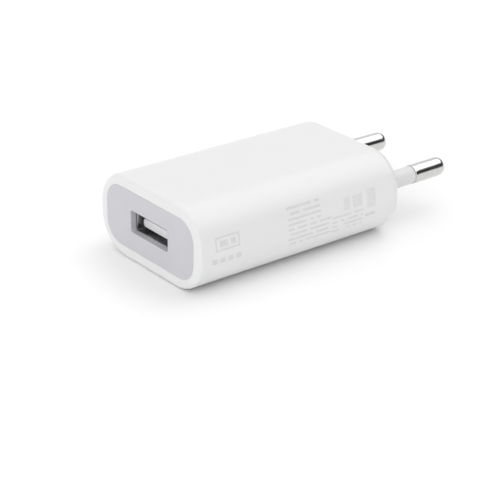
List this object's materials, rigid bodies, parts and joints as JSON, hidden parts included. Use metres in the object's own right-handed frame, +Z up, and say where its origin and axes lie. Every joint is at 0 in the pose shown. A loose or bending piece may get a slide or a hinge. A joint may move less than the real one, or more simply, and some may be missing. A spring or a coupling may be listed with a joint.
{
  "type": "usb wall charger",
  "caption": "Slim white USB wall charger: rounded flat body, light grey end cap with a USB-A port, and two round mains pins with insulating sleeves.",
  "frame": {"origin": "centre of the bounding box, on the flat underside", "axes": "+Y from the USB end to the tips of the mains pins, +Z up out of the upper broad side, +X to the right seen from the USB end"},
  "size_m": [0.033, 0.0695, 0.0172],
  "materials": {
    "shell_plastic": "glossy white injection moulding",
    "cap_plastic": "satin light grey",
    "pin_metal": "polished nickel plate on brass",
    "pin_sleeve_plastic": "satin white",
    "contact_brass": "plated spring strip",
    "nylon": "off-white moulding",
    "socket_steel": "nickel-plated sheet",
    "capacitor_can": "dark printed sleeve over a can",
    "ferrite": "dark sintered ferrite",
    "copper_wire": "enamelled copper",
    "yellow_tape": "polyester tape",
    "blue_ceramic": "blue dipped coating",
    "black_epoxy": "moulded epoxy",
    "tan_ceramic": "lacquered ceramic",
    "board_laminate": "phenolic paper laminate",
    "insulating_film": "polyester film"
  },
  "bodies": {
    "charger": {"body_shell": "shell_plastic", "usb_end_cap": "cap_plastic", "mains_pin_left": "pin_metal", "mains_pin_right": "pin_metal", "pin_sleeve_left": "pin_sleeve_plastic", "pin_sleeve_right": "pin_sleeve_plastic", "pin_carrier": "nylon", "pin_contact_left": "contact_brass", "pin_contact_right": "contact_brass", "main_board": "board_laminate", "usb_socket_shell": "socket_steel", "usb_socket_insulator": "nylon", "transformer_terminal_1": "pin_metal", "transformer_terminal_2": "pin_metal", "transformer_terminal_3": "pin_metal", "transformer_terminal_4": "pin_metal", "transformer_bobbin": "nylon", "output_capacitor_left": "capacitor_can", "output_capacitor_right": "capacitor_can", "bulk_capacitor_left": "capacitor_can", "bulk_capacitor_right": "capacitor_can", "auxiliary_capacitor": "capacitor_can", "transformer_core_left": "ferrite", "transformer_core_right": "ferrite", "filter_choke_core": "ferrite", "transformer_winding": "copper_wire", "filter_choke_winding": "copper_wire", "transformer_coil_tape": "yellow_tape", "transformer_core_tape": "yellow_tape", "y_capacitor": "blue_ceramic", "optocoupler": "black_epoxy", "output_diode": "black_epoxy", "bridge_rectifier": "black_epoxy", "switching_controller": "black_epoxy", "chip_resistor_1": "black_epoxy", "chip_resistor_2": "black_epoxy", "chip_resistor_3": "black_epoxy", "chip_resistor_4": "black_epoxy", "fuse_resistor": "tan_ceramic", "chip_capacitor_1": "tan_ceramic", "chip_capacitor_2": "tan_ceramic", "insulating_sheet": "insulating_film"},
    "usb_contact_ground_spring": {"usb_contact_ground": "contact_brass"},
    "usb_contact_d_plus_spring": {"usb_contact_d_plus": "contact_brass"},
    "usb_contact_d_minus_spring": {"usb_contact_d_minus": "contact_brass"},
    "usb_contact_vbus_spring": {"usb_contact_vbus": "contact_brass"}
  },
  "joints": [
    {"name": "usb_contact_ground_flex", "type": "hinge", "parent": "charger", "child": "usb_contact_ground_spring", "pos_m": [-0.0035, -0.02395, 0.00825], "axis": [1, 0, 0], "range_deg": [0, 3], "stiffness_Nm_per_rad": 0.12},
    {"name": "usb_contact_d_plus_flex", "type": "hinge", "parent": "charger", "child": "usb_contact_d_plus_spring", "pos_m": [-0.001, -0.02395, 0.00825], "axis": [1, 0, 0], "range_deg": [0, 3], "stiffness_Nm_per_rad": 0.12},
    {"name": "usb_contact_d_minus_flex", "type": "hinge", "parent": "charger", "child": "usb_contact_d_minus_spring", "pos_m": [0.001, -0.02395, 0.00825], "axis": [1, 0, 0], "range_deg": [0, 3], "stiffness_Nm_per_rad": 0.12},
    {"name": "usb_contact_vbus_flex", "type": "hinge", "parent": "charger", "child": "usb_contact_vbus_spring", "pos_m": [0.0035, -0.02395, 0.00825], "axis": [1, 0, 0], "range_deg": [0, 3], "stiffness_Nm_per_rad": 0.12}
  ]
}
